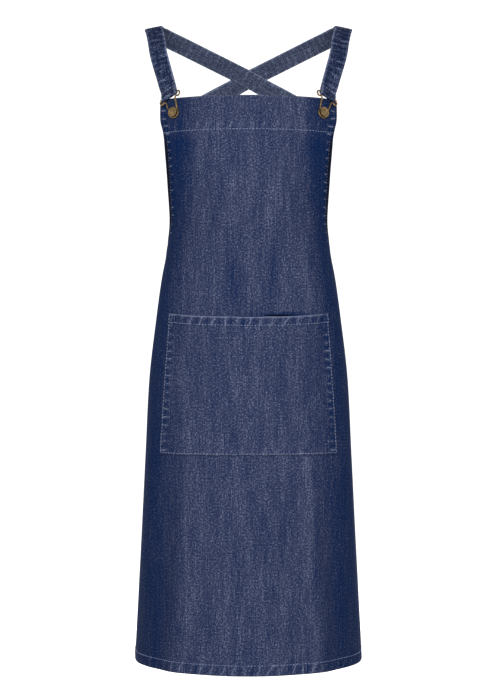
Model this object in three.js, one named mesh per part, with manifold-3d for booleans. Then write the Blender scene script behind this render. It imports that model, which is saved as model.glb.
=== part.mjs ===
// A denim apron with straps that cross at the back, in the shape that it takes when worn.
// Millimetres, +Z up, the wearer faces -Y. The origin lies between the shoulders, level with the
// underside of the two straps where they pass over the top.
import * as THREE from "three";
import { mergeVertices } from "three/addons/utils/BufferGeometryUtils.js";
import Module from "manifold-3d";

// Cloth and sewing
const CLOTH = 1.2; // denim wall
const GAP = 0.3; // between pieces that touch
const HEM_THICKNESS = 2.8; // turned hem, cloth included
const HEM_STEP = 1.5; // over which a hem thins to the single cloth
const SIDE_HEM = 11;
const BOTTOM_HEM = 18;

// Body panel, as worn
const BODY_LENGTH = 910; // bib's top edge to the hem
const HEM_HALF_BREADTH = 188; // half of the hem, seen from the front
const HEM_DEPTH = 170; // front of the hem back to its widest
const TOP_LEAN = 30; // how far the bib's top leans back from the bust
const FRONT = 150; // shoulders back from the bust
const BIB_DROP = 124; // shoulders down to the bib's top edge

// Body panel, flat: half widths from the middle of the cloth
const BIB_HALF = 161;
const CORNER_HALF = 285; // at the back corner that the strap is sewn to
const CORNER_DROP = 262; // bib's top edge down to that corner
const HEM_HALF = 400;
const FOLD_DEPTH = 7; // the deepest fold of the skirt

// Facing behind the bib's top
const FACING_DEPTH = 57.5;

// Pocket
const POCKET_DROP = 345; // bib's top edge to the pocket's
const POCKET_HEIGHT = 222;
const POCKET_TOP_HALF = 132.5;
const POCKET_BOTTOM_HALF = 151;
const POCKET_HEM = 15;
const POCKET_HEM_THICKNESS = 2.4;
const POCKET_GAPE = 12; // how far the mouth stands off in the middle
const POCKET_SAG = 8; // how far the middle of the mouth droops

// Straps
const STRAP_WIDTH = 29;
const STRAP_THICKNESS = 2.4;
const STRAP_TAB = 20; // end turned back behind the clip's bar
const STRAP_LAP = 36; // end sewn over the panel's corner
const LAP_SLANT = 14; // inwards over the lap
const STRAP_LEAN = THREE.MathUtils.degToRad(27); // outwards from upright, in the bib's cloth
const SHOULDER_HALF = 156; // middle of the apron to the middle of a strap, at the shoulder
const BACK_DEPTH = 240; // bust back to where the straps cross
const CROSS_DROP = 71; // shoulders down to the crossing
const CROSS_GAP = 2.4; // between the straps there, since both bend round the back

// Clip, bent from round wire
const WIRE = 2.8;
const WIRE_SIDES = 8;
const EAR_RADIUS = 4.4; // round turn at each end of the bar
const NECK_HALF = 8.8;
const BAR_RISE = 33.5; // button up to the bar
const BAR_PLAY = 0.8; // beside the strap at each end of the bar, beyond the usual gap
const BAR_SPLIT = 0.5; // between the two ends of the wire, in the middle of the bar
const RING_PLAY = 1.2; // between the ring and the button's collar, beyond the usual gap
const RING_LOOSE = 0.6; // between the ring and the button's head, beyond the usual gap

// Button and tack
const BUTTON_ACROSS = 125.5; // middle of the apron to the button, along the cloth
const BUTTON_DROP = 26; // below the bib's top edge
const HEAD_RADIUS = 8.6;
const HEAD_THICKNESS = 2.6;
const COLLAR_RADIUS = 4.9;
const NAIL_RADIUS = 1.1;
const TACK_RADIUS = 5;
const TACK_THICKNESS = 1.2;
const LATHE_SIDES = 16;

// Worn shape, a level at a time: drop is a share of BODY_LENGTH, breadth of HEM_HALF_BREADTH,
// depth (front to widest) and behind (widest to the back) of HEM_DEPTH, lean of TOP_LEAN.
// square is the power of the level's rounded outline, 2 for an ellipse.
const LEVELS = [
  { drop: 0.0, breadth: 0.892, depth: 0.79, behind: 0.7, lean: 1.0, square: 2.0 },
  { drop: 0.066, breadth: 0.868, depth: 0.765, behind: 0.68, lean: 0.28, square: 2.0 },
  { drop: 0.147, breadth: 0.79, depth: 0.694, behind: 0.66, lean: 0.0, square: 2.05 },
  { drop: 0.22, breadth: 0.702, depth: 0.612, behind: 0.65, lean: 0.35, square: 2.15 },
  { drop: 0.258, breadth: 0.7, depth: 0.576, behind: 0.64, lean: 0.55, square: 2.2 },
  { drop: 0.319, breadth: 0.752, depth: 0.576, behind: 0.64, lean: 0.62, square: 2.25 },
  { drop: 0.387, breadth: 0.796, depth: 0.6, behind: 0.66, lean: 0.38, square: 2.3 },
  { drop: 0.49, breadth: 0.854, depth: 0.67, behind: 0.69, lean: 0.05, square: 2.3 },
  { drop: 0.626, breadth: 0.89, depth: 0.765, behind: 0.73, lean: -0.2, square: 2.3 },
  { drop: 0.8, breadth: 0.938, depth: 0.935, behind: 0.77, lean: -0.36, square: 2.2 },
  { drop: 1.0, breadth: 1.0, depth: 1.19, behind: 0.82, lean: -0.55, square: 2.1 },
];

// Bib's side and armhole: drop is a share of CORNER_DROP, and spread runs from the bib's half
// width, 0, to the corner's, 1.
const ARMHOLE = [
  { drop: 0.0, spread: 0.0 },
  { drop: 0.134, spread: -0.002 },
  { drop: 0.214, spread: -0.06 },
  { drop: 0.286, spread: -0.081 },
  { drop: 0.511, spread: -0.105 },
  { drop: 0.687, spread: -0.082 },
  { drop: 0.782, spread: -0.021 },
  { drop: 0.859, spread: 0.11 },
  { drop: 0.916, spread: 0.327 },
  { drop: 0.962, spread: 0.62 },
  { drop: 1.0, spread: 1.0 },
];

// Soft upright folds, the same on both sides: at and width are shares of the way round from the
// front to the widest place, from and to are shares of BODY_LENGTH, rise is a share of FOLD_DEPTH,
// outwards if positive.
const FOLDS = [
  { at: 0.15, width: 0.085, from: 0.27, to: 0.42, fade: 0.09, rise: -0.42 },
  { at: 0.24, width: 0.1, from: 0.66, to: 1.1, fade: 0.16, rise: -0.35 },
  { at: 0.42, width: 0.075, from: 0.62, to: 1.1, fade: 0.16, rise: 0.45 },
  { at: 0.52, width: 0.07, from: 0.62, to: 1.1, fade: 0.16, rise: -0.4 },
  { at: 0.76, width: 0.09, from: 0.5, to: 1.1, fade: 0.2, rise: 0.4 },
  { at: 1.14, width: 0.07, from: 0.42, to: 1.1, fade: 0.25, rise: -1.0 },
  { at: 1.27, width: 0.06, from: 0.45, to: 1.1, fade: 0.3, rise: 0.8 },
];

// Where the strap's outer side looks as it leaves the clip
const LEAD_FACE = [-0.4, -0.86, 0.32];

// Strap from the chest over the shoulder to the crossing: across is a share of SHOULDER_HALF,
// behind runs from the shoulders, 0, to the crossing, 1, and drop is a share of CROSS_DROP. face is
// where the strap's outer side looks.
const OVER_SHOULDER = [
  { across: 0.929, behind: -0.6, drop: 0.72, face: [-0.26, -0.88, 0.4] },
  { across: 0.953, behind: -0.444, drop: 0.42, face: [-0.16, -0.86, 0.48] },
  { across: 0.977, behind: -0.267, drop: 0.175, face: [-0.16, -0.62, 0.76] },
  { across: 1.0, behind: -0.044, drop: 0.0, face: [-0.2, -0.02, 0.98] },
  { across: 0.968, behind: 0.156, drop: 0.059, face: [-0.33, 0.42, 0.84] },
  { across: 0.878, behind: 0.356, drop: 0.15, face: [-0.52, 0.68, 0.52] },
  { across: 0.691, behind: 0.6, drop: 0.31, face: [-0.46, 0.84, 0.3] },
  { across: 0.415, behind: 0.822, drop: 0.574, face: [-0.3, 0.93, 0.22] },
  { across: 0.179, behind: 0.96, drop: 0.808, face: [-0.14, 0.98, 0.16] },
  { across: 0.0, behind: 1.0, drop: 1.0, face: [0.0, 0.99, 0.1] },
  { across: -0.179, behind: 0.978, drop: 1.225, face: [0.14, 0.98, 0.14] },
  { across: -0.417, behind: 0.867, drop: 1.52, face: [0.3, 0.93, 0.2] },
];

// Strap from there to the panel's far corner: fall runs from the last place above, 0, to the
// corner, 1. bow is how far it goes outwards round the ribs, as a share of SHOULDER_HALF, and
// sink how far forwards, as a share of BACK_DEPTH.
const DOWN_RIBS = [
  { fall: 0.07, bow: 0.15, sink: 0.027, face: [0.38, 0.87, 0.3] },
  { fall: 0.186, bow: 0.236, sink: 0.06, face: [0.56, 0.74, 0.36] },
  { fall: 0.354, bow: 0.24, sink: 0.076, face: [0.68, 0.68, 0.26] },
  { fall: 0.557, bow: 0.182, sink: 0.07, face: [0.7, 0.7, 0.12] },
  { fall: 0.782, bow: 0.09, sink: 0.041, face: [0.68, 0.73, 0.04] },
  { fall: 0.93, bow: 0.037, sink: 0.014, face: [0.66, 0.75, 0.02] },
];

const vector = (x, y, z) => new THREE.Vector3(x, y, z);
const lerp = THREE.MathUtils.lerp;
const clamp01 = (x) => THREE.MathUtils.clamp(x, 0, 1);
const ease = (x) => THREE.MathUtils.smoothstep(x, 0, 1);

// Reads a column of a table at any place along another, on a smooth curve through the rows.
function readTable(table, by, column, at) {
  const last = table.length - 1;
  let i = 0;
  while (i < last - 1 && at > table[i + 1][by]) i++;
  const slope = (k) => {
    const a = table[Math.max(k - 1, 0)];
    const b = table[Math.min(k + 1, last)];
    return (b[column] - a[column]) / (b[by] - a[by]);
  };
  const [low, high] = [table[i], table[i + 1]];
  const span = high[by] - low[by];
  const t = clamp01((at - low[by]) / span);
  const [t2, t3] = [t * t, t * t * t];
  return (
    low[column] * (2 * t3 - 3 * t2 + 1) +
    high[column] * (3 * t2 - 2 * t3) +
    slope(i) * span * (t3 - 2 * t2 + t) +
    slope(i + 1) * span * (t3 - t2)
  );
}

// Half of the panel's flat width at a drop below the bib's top edge.
function cutHalf(drop) {
  if (drop >= CORNER_DROP) {
    return lerp(CORNER_HALF, HEM_HALF, (drop - CORNER_DROP) / (BODY_LENGTH - CORNER_DROP));
  }
  return lerp(BIB_HALF, CORNER_HALF, readTable(ARMHOLE, "drop", "spread", drop / CORNER_DROP));
}

// One level of the worn shape: points from the front round to the back, with the arc length to each.
const LEVEL_STEPS = 160;
const levels = new Map();
function levelAt(drop) {
  const key = drop.toFixed(3);
  if (levels.has(key)) return levels.get(key);
  const read = (column) => readTable(LEVELS, "drop", column, drop / BODY_LENGTH);
  const half = HEM_HALF_BREADTH * read("breadth");
  const depth = HEM_DEPTH * read("depth");
  const behind = HEM_DEPTH * read("behind");
  const power = 2 / read("square");
  const widest = -FRONT + TOP_LEAN * read("lean") + depth;
  const points = [];
  const arcs = [];
  for (let i = 0; i <= LEVEL_STEPS; i++) {
    const angle = (Math.PI * i) / LEVEL_STEPS;
    const forward = Math.cos(angle);
    const reach = forward > 0 ? -depth : behind;
    const point = new THREE.Vector2(
      half * Math.abs(Math.sin(angle)) ** power,
      widest + reach * Math.abs(forward) ** power,
    );
    arcs.push(i ? arcs[i - 1] + point.distanceTo(points[i - 1]) : 0);
    points.push(point);
  }
  const level = { points, arcs, quarter: arcs[LEVEL_STEPS / 2] };
  levels.set(key, level);
  return level;
}

// How far the folds push the cloth out at a place.
function foldAt(across, drop, quarter) {
  const share = Math.abs(across) / quarter;
  const down = drop / BODY_LENGTH;
  return FOLDS.reduce((sum, fold) => {
    const grown = ease((down - fold.from) / fold.fade) * ease((fold.to - down) / fold.fade);
    const shape = Math.exp(-(((share - fold.at) / fold.width) ** 2));
    return sum + FOLD_DEPTH * fold.rise * grown * shape;
  }, 0);
}

// The cloth's outer face: across is the arc length from the middle, right positive.
function facePoint(across, drop) {
  const { points, arcs, quarter } = levelAt(drop);
  const reach = Math.min(Math.abs(across), arcs[LEVEL_STEPS]);
  let i = 1;
  while (i < LEVEL_STEPS && arcs[i] < reach) i++;
  const t = (reach - arcs[i - 1]) / (arcs[i] - arcs[i - 1]);
  const along = points[i].clone().sub(points[i - 1]);
  const at = points[i - 1].clone().addScaledVector(along, t);
  const out = new THREE.Vector2(along.y, -along.x).normalize();
  at.addScaledVector(out, foldAt(across, drop, quarter));
  return vector(Math.sign(across) * at.x, at.y, -BIB_DROP - drop);
}

const PROBE = 2.5; // step for the cloth's slope
function faceNormal(across, drop) {
  const right = facePoint(across + PROBE, drop).sub(facePoint(across - PROBE, drop));
  const down = facePoint(across, drop + PROBE).sub(facePoint(across, Math.max(drop - PROBE, 0)));
  return down.cross(right).normalize();
}

// A place lifted off the cloth's outer face, inwards if lift is negative.
function onCloth(across, drop, lift) {
  return facePoint(across, drop).addScaledVector(faceNormal(across, drop), lift);
}

// A closed wall through rings. Each ring runs along one face and comes back along the other, so
// that its two ends close as strips.
function wallThrough(rings) {
  const count = rings[0].length;
  const faces = [];
  const corners = rings.flat();
  const quad = (a, b, c, d) => {
    const across = corners[a].distanceToSquared(corners[c]);
    const other = corners[b].distanceToSquared(corners[d]);
    if (other < across) faces.push(a, b, d, b, c, d);
    else faces.push(a, b, c, a, c, d);
  };
  const positions = corners.flatMap((p) => [p.x, p.y, p.z]);
  for (let j = 0; j < rings.length - 1; j++) {
    for (let i = 0; i < count; i++) {
      const next = (i + 1) % count;
      quad(j * count + i, (j + 1) * count + i, (j + 1) * count + next, j * count + next);
    }
  }
  const last = (rings.length - 1) * count;
  for (let i = 0; i < count / 2 - 1; i++) {
    quad(i, i + 1, count - 2 - i, count - 1 - i);
    quad(last + count - 1 - i, last + count - 2 - i, last + i + 1, last + i);
  }
  return new THREE.BufferGeometry()
    .setAttribute("position", new THREE.Float32BufferAttribute(positions, 3))
    .setIndex(faces);
}

// A wall of cloth: for each drop, lines gives the places across it, and lifts its two faces.
function clothWall(drops, lines, lifts) {
  return wallThrough(
    drops.map((drop, row) => {
      const places = lines(drop, row);
      const outer = places.map((p, i) => onCloth(p.across, p.drop, lifts(p, i, row).outer));
      const inner = places.map((p, i) => onCloth(p.across, p.drop, lifts(p, i, row).inner));
      return [...outer, ...inner.reverse()];
    }),
  );
}

// Evenly spaced numbers, both ends included.
const spaced = (from, to, steps) => Array.from({ length: steps + 1 }, (_, i) => lerp(from, to, i / steps));

// Where the panel's lines run: an edge, its hem, and even lines between the two hems.
const FIELD_STEPS = 28;
function hemInset(drop) {
  const slopeProbe = 1;
  const above = Math.min(drop, CORNER_DROP);
  const slope = drop > 0 ? (cutHalf(above) - cutHalf(above - slopeProbe)) / slopeProbe : 0;
  const slanted = SIDE_HEM * Math.hypot(1, slope);
  return lerp(slanted, SIDE_HEM, clamp01((drop - CORNER_DROP) / SIDE_HEM));
}
function panelLines(drop) {
  const edge = cutHalf(drop);
  const hem = edge - hemInset(drop);
  const field = spaced(HEM_STEP - hem, hem - HEM_STEP, FIELD_STEPS);
  return [-edge, -hem, ...field, hem, edge].map((across) => ({ across, drop }));
}
const sideHem = (i) => i < 2 || i > FIELD_STEPS + 2;

// Panel: bib and skirt in one, with its edges turned in and sewn.
const FACING_ROWS = 3;
const BIB_ROWS = 6;
const ARMHOLE_ROWS = 9;
const SKIRT_ROWS = 17;
const ARMHOLE_START = 0.76; // share of CORNER_DROP where the side starts to sweep out
function panelDrops() {
  const sweep = ARMHOLE_START * CORNER_DROP;
  return [
    ...spaced(0, FACING_DEPTH, FACING_ROWS),
    ...spaced(FACING_DEPTH, sweep, BIB_ROWS).slice(1),
    ...spaced(sweep, CORNER_DROP, ARMHOLE_ROWS).slice(1),
    CORNER_DROP + SIDE_HEM,
    ...spaced(CORNER_DROP + SIDE_HEM, BODY_LENGTH - BOTTOM_HEM - HEM_STEP, SKIRT_ROWS).slice(1),
    BODY_LENGTH - BOTTOM_HEM,
    BODY_LENGTH,
  ];
}
function bodyPanel() {
  const drops = panelDrops();
  const bottomHem = (row) => row >= drops.length - 2;
  return clothWall(drops, panelLines, (place, i, row) => ({
    outer: 0,
    inner: sideHem(i) || bottomHem(row) ? -HEM_THICKNESS : -CLOTH,
  }));
}

// Facing: the strip that doubles the bib's top from behind, over the side hems.
function bibFacing() {
  return clothWall(spaced(0, FACING_DEPTH, FACING_ROWS), panelLines, (place, i) => {
    const front = -GAP - (sideHem(i) ? HEM_THICKNESS : CLOTH);
    return { outer: front, inner: front - CLOTH };
  });
}

// Pocket: a patch sewn down at its sides and foot. Its mouth stands off and droops in the middle.
const POCKET_STEPS = 18;
const POCKET_ROWS = 8;
function pocket() {
  const down = (drop) => (drop - POCKET_DROP) / POCKET_HEIGHT;
  const drops = [
    POCKET_DROP,
    POCKET_DROP + POCKET_HEM,
    ...spaced(POCKET_DROP + POCKET_HEM + HEM_STEP, POCKET_DROP + POCKET_HEIGHT, POCKET_ROWS),
  ];
  const lines = (drop) => {
    const half = lerp(POCKET_TOP_HALF, POCKET_BOTTOM_HALF, down(drop));
    return spaced(-1, 1, POCKET_STEPS).map((share) => {
      const droop = POCKET_SAG * (1 - share * share) * (1 - down(drop));
      return { across: share * half, drop: drop + droop, share };
    });
  };
  return clothWall(drops, lines, ({ share }, i, row) => {
    const open = (1 - down(drops[row])) ** 1.5 * Math.cos((share * Math.PI) / 2) ** 1.3;
    const inner = 2 * GAP + POCKET_GAPE * Math.max(open, 0);
    return { outer: inner + (row < 2 ? POCKET_HEM_THICKNESS : CLOTH), inner };
  });
}

// Fastening: the button's place on the left of the bib, with the cloth's normal and the strap's
// way up to the shoulder lying in the cloth.
const fastening = (() => {
  const at = facePoint(-BUTTON_ACROSS, BUTTON_DROP);
  const out = faceNormal(-BUTTON_ACROSS, BUTTON_DROP);
  const level = vector(-out.y, out.x, 0).normalize();
  const up = out.clone().cross(level).multiplyScalar(Math.cos(STRAP_LEAN));
  up.addScaledVector(level, -Math.sin(STRAP_LEAN));
  const right = up.clone().cross(out);
  const frame = new THREE.Matrix4().makeBasis(right, up, out).setPosition(at);
  return { at, out, up, right, frame };
})();

// A place given across, up and off the cloth from the button.
const fromButton = (across, up, off) => vector(across, up, off).applyMatrix4(fastening.frame);

const BAR_HEIGHT = 2 * GAP + STRAP_THICKNESS + WIRE / 2 + 0.4; // room for the tab under the bar
const RING_HEIGHT = WIRE / 2 + 2 * GAP;
const HEAD_HEIGHT = RING_HEIGHT + WIRE + GAP + RING_LOOSE; // underside of the button's head

// Clip: one wire, from the middle of the bar round an ear, in at the neck, round the button's
// collar and back the same way.
const WIRE_STEPS = 64;
function clip() {
  const barHalf = STRAP_WIDTH / 2 + GAP + BAR_PLAY;
  const ringRadius = COLLAR_RADIUS + GAP + WIRE / 2 + RING_PLAY;
  const earUp = BAR_RISE - EAR_RADIUS;
  const earFoot = earUp - EAR_RADIUS;
  const half = [[BAR_SPLIT / 2, BAR_RISE]];
  for (const share of [0.35, 0.7]) half.push([barHalf * share, BAR_RISE]);
  for (const angle of spaced(90, -90, 6)) {
    const turn = THREE.MathUtils.degToRad(angle);
    half.push([barHalf + EAR_RADIUS * Math.cos(turn), earUp + EAR_RADIUS * Math.sin(turn)]);
  }
  half.push([(barHalf + NECK_HALF) / 2, earFoot + EAR_RADIUS * 0.4]);
  half.push([NECK_HALF + 0.4, earFoot - WIRE * 0.4]);
  half.push([NECK_HALF, earFoot * 0.66]);
  for (const angle of spaced(28, -90, 5)) {
    const turn = THREE.MathUtils.degToRad(angle);
    half.push([ringRadius * Math.cos(turn), ringRadius * Math.sin(turn)]);
  }
  const line = [...half, ...half.slice(0, -1).reverse().map(([across, up]) => [-across, up])];
  const risen = (up) => clamp01((up - COLLAR_RADIUS) / (earFoot - COLLAR_RADIUS));
  const height = (up) => lerp(RING_HEIGHT, BAR_HEIGHT, risen(up));
  const route = new THREE.CatmullRomCurve3(line.map(([across, up]) => vector(across, up, height(up))));
  const section = new THREE.Shape();
  section.absarc(0, 0, WIRE / 2, 0, 2 * Math.PI);
  return new THREE.ExtrudeGeometry(section, {
    steps: WIRE_STEPS,
    curveSegments: WIRE_SIDES / 2,
    extrudePath: route,
  });
}

// A turned piece on the button's axis: profile rows are [radius, height off the cloth].
function turned(profile) {
  const points = profile.map(([radius, height]) => new THREE.Vector2(radius, height));
  return new THREE.LatheGeometry(points, LATHE_SIDES).rotateX(Math.PI / 2);
}

// Button: a domed head with a rolled rim on a collar, bored from behind for the tack's nail.
const BORE_RADIUS = NAIL_RADIUS + GAP;
function button() {
  const top = HEAD_HEIGHT + HEAD_THICKNESS;
  const boreEnd = HEAD_HEIGHT - GAP;
  return turned([
    [0, boreEnd],
    [BORE_RADIUS, boreEnd],
    [BORE_RADIUS, GAP],
    [COLLAR_RADIUS, GAP],
    [COLLAR_RADIUS, HEAD_HEIGHT],
    [HEAD_RADIUS * 0.94, HEAD_HEIGHT],
    [HEAD_RADIUS, HEAD_HEIGHT + HEAD_THICKNESS * 0.3],
    [HEAD_RADIUS, HEAD_HEIGHT + HEAD_THICKNESS * 0.7],
    [HEAD_RADIUS * 0.93, top],
    [HEAD_RADIUS * 0.82, top],
    [HEAD_RADIUS * 0.76, top - HEAD_THICKNESS * 0.15],
    [0, top - HEAD_THICKNESS * 0.05],
  ]);
}

// Tack: a flat plate behind the facing, with the nail that holds the button.
function tack() {
  const plate = -2 * (CLOTH + GAP);
  return turned([
    [0, plate - TACK_THICKNESS],
    [TACK_RADIUS * 0.9, plate - TACK_THICKNESS],
    [TACK_RADIUS, plate - TACK_THICKNESS * 0.5],
    [TACK_RADIUS, plate],
    [NAIL_RADIUS, plate],
    [NAIL_RADIUS, HEAD_HEIGHT - 2 * GAP],
    [0, HEAD_HEIGHT - 2 * GAP],
  ]);
}

// Strap's end at the clip: up from the tab's end, round the bar, and away up the front. Each place
// holds a point on the strap's middle and the way that its outer side looks.
const LOOP_STEPS = 8;
function strapLoop() {
  const bend = WIRE / 2 + GAP + STRAP_THICKNESS / 2;
  const at = (up, off, tilt) => ({
    point: fromButton(0, BAR_RISE + up, BAR_HEIGHT + off),
    face: fastening.out.clone().multiplyScalar(Math.cos(tilt)).addScaledVector(fastening.up, Math.sin(tilt)),
  });
  const tab = spaced(STRAP_TAB, 0, 3).map((up) => at(up, -bend, Math.PI));
  const round = spaced(Math.PI, 0, LOOP_STEPS)
    .slice(1)
    .map((turn) => at(-bend * Math.sin(turn), bend * Math.cos(turn), -turn));
  const closing = STRAP_TAB * 0.6;
  const front = spaced(0, 1, 4)
    .slice(1)
    .map((t) => at(closing * t, bend * (1 - ease(t)), 0.35 * Math.sin(Math.PI * t)));
  return [...tab, ...round, ...front];
}

// The places that a left strap passes. layer shifts its crossing back, or forwards if negative.
function strapPlaces(layer) {
  const crossing = vector(0, BACK_DEPTH - FRONT, -CROSS_DROP);
  const over = OVER_SHOULDER.map(({ across, behind, drop, face }) => ({
    point: vector(
      -across * SHOULDER_HALF,
      behind * crossing.y + layer * ease(behind),
      STRAP_THICKNESS / 2 - drop * CROSS_DROP,
    ),
    face: vector(...face),
  }));
  const lift = 2 * GAP + STRAP_THICKNESS / 2;
  const lapEnd = cutHalf(CORNER_DROP + STRAP_LAP) - STRAP_WIDTH / 2 - HEM_STEP;
  const sewn = [-0.6, 0.1, 0.55, 1].map((share) => {
    const drop = CORNER_DROP + share * STRAP_LAP;
    const across = lapEnd - LAP_SLANT * (1 - share);
    return { point: onCloth(across, drop, lift), face: faceNormal(across, drop) };
  });
  const start = over.at(-1).point;
  const end = sewn[0].point;
  const down = DOWN_RIBS.map(({ fall, bow, sink, face }) => ({
    point: start
      .clone()
      .lerp(end, fall)
      .add(vector(bow * SHOULDER_HALF, -sink * BACK_DEPTH, 0)),
    face: vector(...face),
  }));
  return [...over, ...down, ...sewn];
}

// Strap: a flat band swept along its places, with softened edges.
const STRAP_STEPS = 52;
function strap(layer) {
  const loop = strapLoop();
  const places = [loop.at(-1), ...strapPlaces(layer)];
  const lead = {
    point: fromButton(0, BAR_RISE + STRAP_TAB * 1.3, BAR_HEIGHT),
    face: vector(...LEAD_FACE),
  };
  places.splice(1, 0, lead);
  const route = new THREE.CatmullRomCurve3(places.map((p) => p.point), false, "centripetal");
  const samples = spaced(0, 1, STRAP_STEPS)
    .slice(1)
    .map((share) => {
      const t = route.getUtoTmapping(share);
      const k = t * (places.length - 1);
      const i = Math.min(Math.floor(k), places.length - 2);
      const face = places[i].face.clone().lerp(places[i + 1].face, ease(k - i));
      return { point: route.getPoint(t), face };
    });
  const line = [...loop, ...samples];
  const [half, thick] = [STRAP_WIDTH / 2, STRAP_THICKNESS / 2];
  const flat = half - STRAP_THICKNESS * 0.4;
  const outline = [
    [-half, thick * 0.4],
    [-flat, thick],
    [flat, thick],
    [half, thick * 0.4],
    [half, -thick * 0.4],
    [flat, -thick],
    [-flat, -thick],
    [-half, -thick * 0.4],
  ];
  return wallThrough(
    line.map(({ point, face }, i) => {
      const before = line[Math.max(i - 1, 0)].point;
      const after = line[Math.min(i + 1, line.length - 1)].point;
      const along = after.clone().sub(before).normalize();
      const side = face.clone().cross(along).normalize();
      const out = along.clone().cross(side);
      return outline.map(([across, off]) =>
        point.clone().addScaledVector(side, across).addScaledVector(out, off),
      );
    }),
  );
}

// Cutting with closed solids
const wasm = await Module();
wasm.setup();
function solidOf(geometry, matrix) {
  const bare = new THREE.BufferGeometry()
    .setAttribute("position", geometry.getAttribute("position").clone())
    .setIndex(geometry.index)
    .applyMatrix4(matrix);
  const merged = mergeVertices(bare, 1e-3);
  const triVerts = new Uint32Array(merged.index.array);
  return new wasm.Manifold(
    new wasm.Mesh({ numProp: 3, vertProperties: merged.attributes.position.array, triVerts }),
  );
}
function geometryOf(solid) {
  const mesh = solid.getMesh();
  return new THREE.BufferGeometry()
    .setAttribute("position", new THREE.BufferAttribute(new Float32Array(mesh.vertProperties), 3))
    .setIndex(new THREE.BufferAttribute(new Uint32Array(mesh.triVerts), 1));
}

// Cloth with the nails' two holes.
function pierced(geometry) {
  const reach = 4 * HEM_THICKNESS;
  const drill = new THREE.CylinderGeometry(BORE_RADIUS, BORE_RADIUS, reach, 10).rotateX(Math.PI / 2);
  const mirror = new THREE.Matrix4().makeScale(-1, 1, 1);
  const left = fastening.frame;
  const right = mirror.clone().multiply(left).multiply(mirror);
  const whole = solidOf(geometry, new THREE.Matrix4());
  return geometryOf(whole.subtract(solidOf(drill, left)).subtract(solidOf(drill, right)));
}

const DENIM = { color: 0x3e4765, roughness: 0.92, metalness: 0 };
const STRAP_DENIM = { color: 0x2c3650, roughness: 0.92, metalness: 0 };
const BRASS = { color: 0x7a6440, roughness: 0.42, metalness: 0.9 };

function piece(name, geometry, finish) {
  geometry.computeVertexNormals();
  const mesh = new THREE.Mesh(geometry, new THREE.MeshStandardMaterial(finish));
  mesh.name = name;
  return mesh;
}

// One side's strap and fastening, modelled on the left.
function fasteningSide(side, layer) {
  const group = new THREE.Group();
  const hardware = new THREE.Group();
  hardware.applyMatrix4(fastening.frame);
  hardware.add(
    piece(`clip_${side}`, clip(), BRASS),
    piece(`button_${side}`, button(), BRASS),
    piece(`tack_${side}`, tack(), BRASS),
  );
  group.add(hardware, piece(`strap_${side}`, strap(layer), STRAP_DENIM));
  return group;
}

const apron = new THREE.Group();
apron.add(
  piece("body_panel", pierced(bodyPanel()), DENIM),
  piece("bib_facing", pierced(bibFacing()), DENIM),
  piece("pocket", pocket(), DENIM),
);

// The left strap passes nearer the wearer where the two cross.
const crossingLayer = STRAP_THICKNESS / 2 + CROSS_GAP / 2;
const rightSide = fasteningSide("right", crossingLayer);
rightSide.scale.x = -1;
apron.add(fasteningSide("left", -crossingLayer), rightSide);

export default apron;
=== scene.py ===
import bpy
import math
import random
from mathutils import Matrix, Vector


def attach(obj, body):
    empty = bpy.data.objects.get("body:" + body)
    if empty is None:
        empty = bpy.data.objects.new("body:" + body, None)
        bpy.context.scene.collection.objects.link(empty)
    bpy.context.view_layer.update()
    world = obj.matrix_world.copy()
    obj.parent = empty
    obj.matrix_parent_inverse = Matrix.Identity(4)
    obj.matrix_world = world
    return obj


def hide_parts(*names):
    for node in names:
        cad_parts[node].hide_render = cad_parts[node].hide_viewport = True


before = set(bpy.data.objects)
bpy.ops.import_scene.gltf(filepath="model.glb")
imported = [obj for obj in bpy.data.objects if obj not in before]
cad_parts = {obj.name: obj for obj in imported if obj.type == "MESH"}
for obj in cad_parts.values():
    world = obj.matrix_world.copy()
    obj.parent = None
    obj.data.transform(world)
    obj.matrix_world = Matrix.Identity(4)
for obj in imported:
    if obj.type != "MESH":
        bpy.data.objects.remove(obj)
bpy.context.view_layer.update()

# Camera
# A level camera, half way down the apron and about three metres in front of the shoulders, on a
# long lens. Its picture is shifted by about a pixel, to stand where the photo has the apron.
SHOULDERS_TO_EYE = 0.5251
EYE_AHEAD = 3.05
PIXELS_HIGH = 700
FOCAL_PIXELS = 1857.5
SHIFT_RIGHT, SHIFT_UP = 1.5, -1.0
SENSOR = 36
FARTHEST_SEEN = 40


def put_in(name, data):
    """A new object in the scene, from its mesh, curve, lamp or camera."""
    new = bpy.data.objects.new(name, data)
    bpy.context.collection.objects.link(new)
    return new


camera = bpy.data.cameras.new("camera")
camera.sensor_width = SENSOR
camera.lens = SENSOR * FOCAL_PIXELS / PIXELS_HIGH
camera.shift_x = SHIFT_RIGHT / PIXELS_HIGH
camera.shift_y = SHIFT_UP / PIXELS_HIGH
camera.clip_end = FARTHEST_SEEN
stand = put_in("camera", camera)
stand.location = (0, -EYE_AHEAD, -SHOULDERS_TO_EYE)
stand.rotation_euler = (math.pi / 2, 0, 0)
bpy.context.scene.camera = stand
bpy.context.scene.view_settings.view_transform = "Standard"

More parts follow.
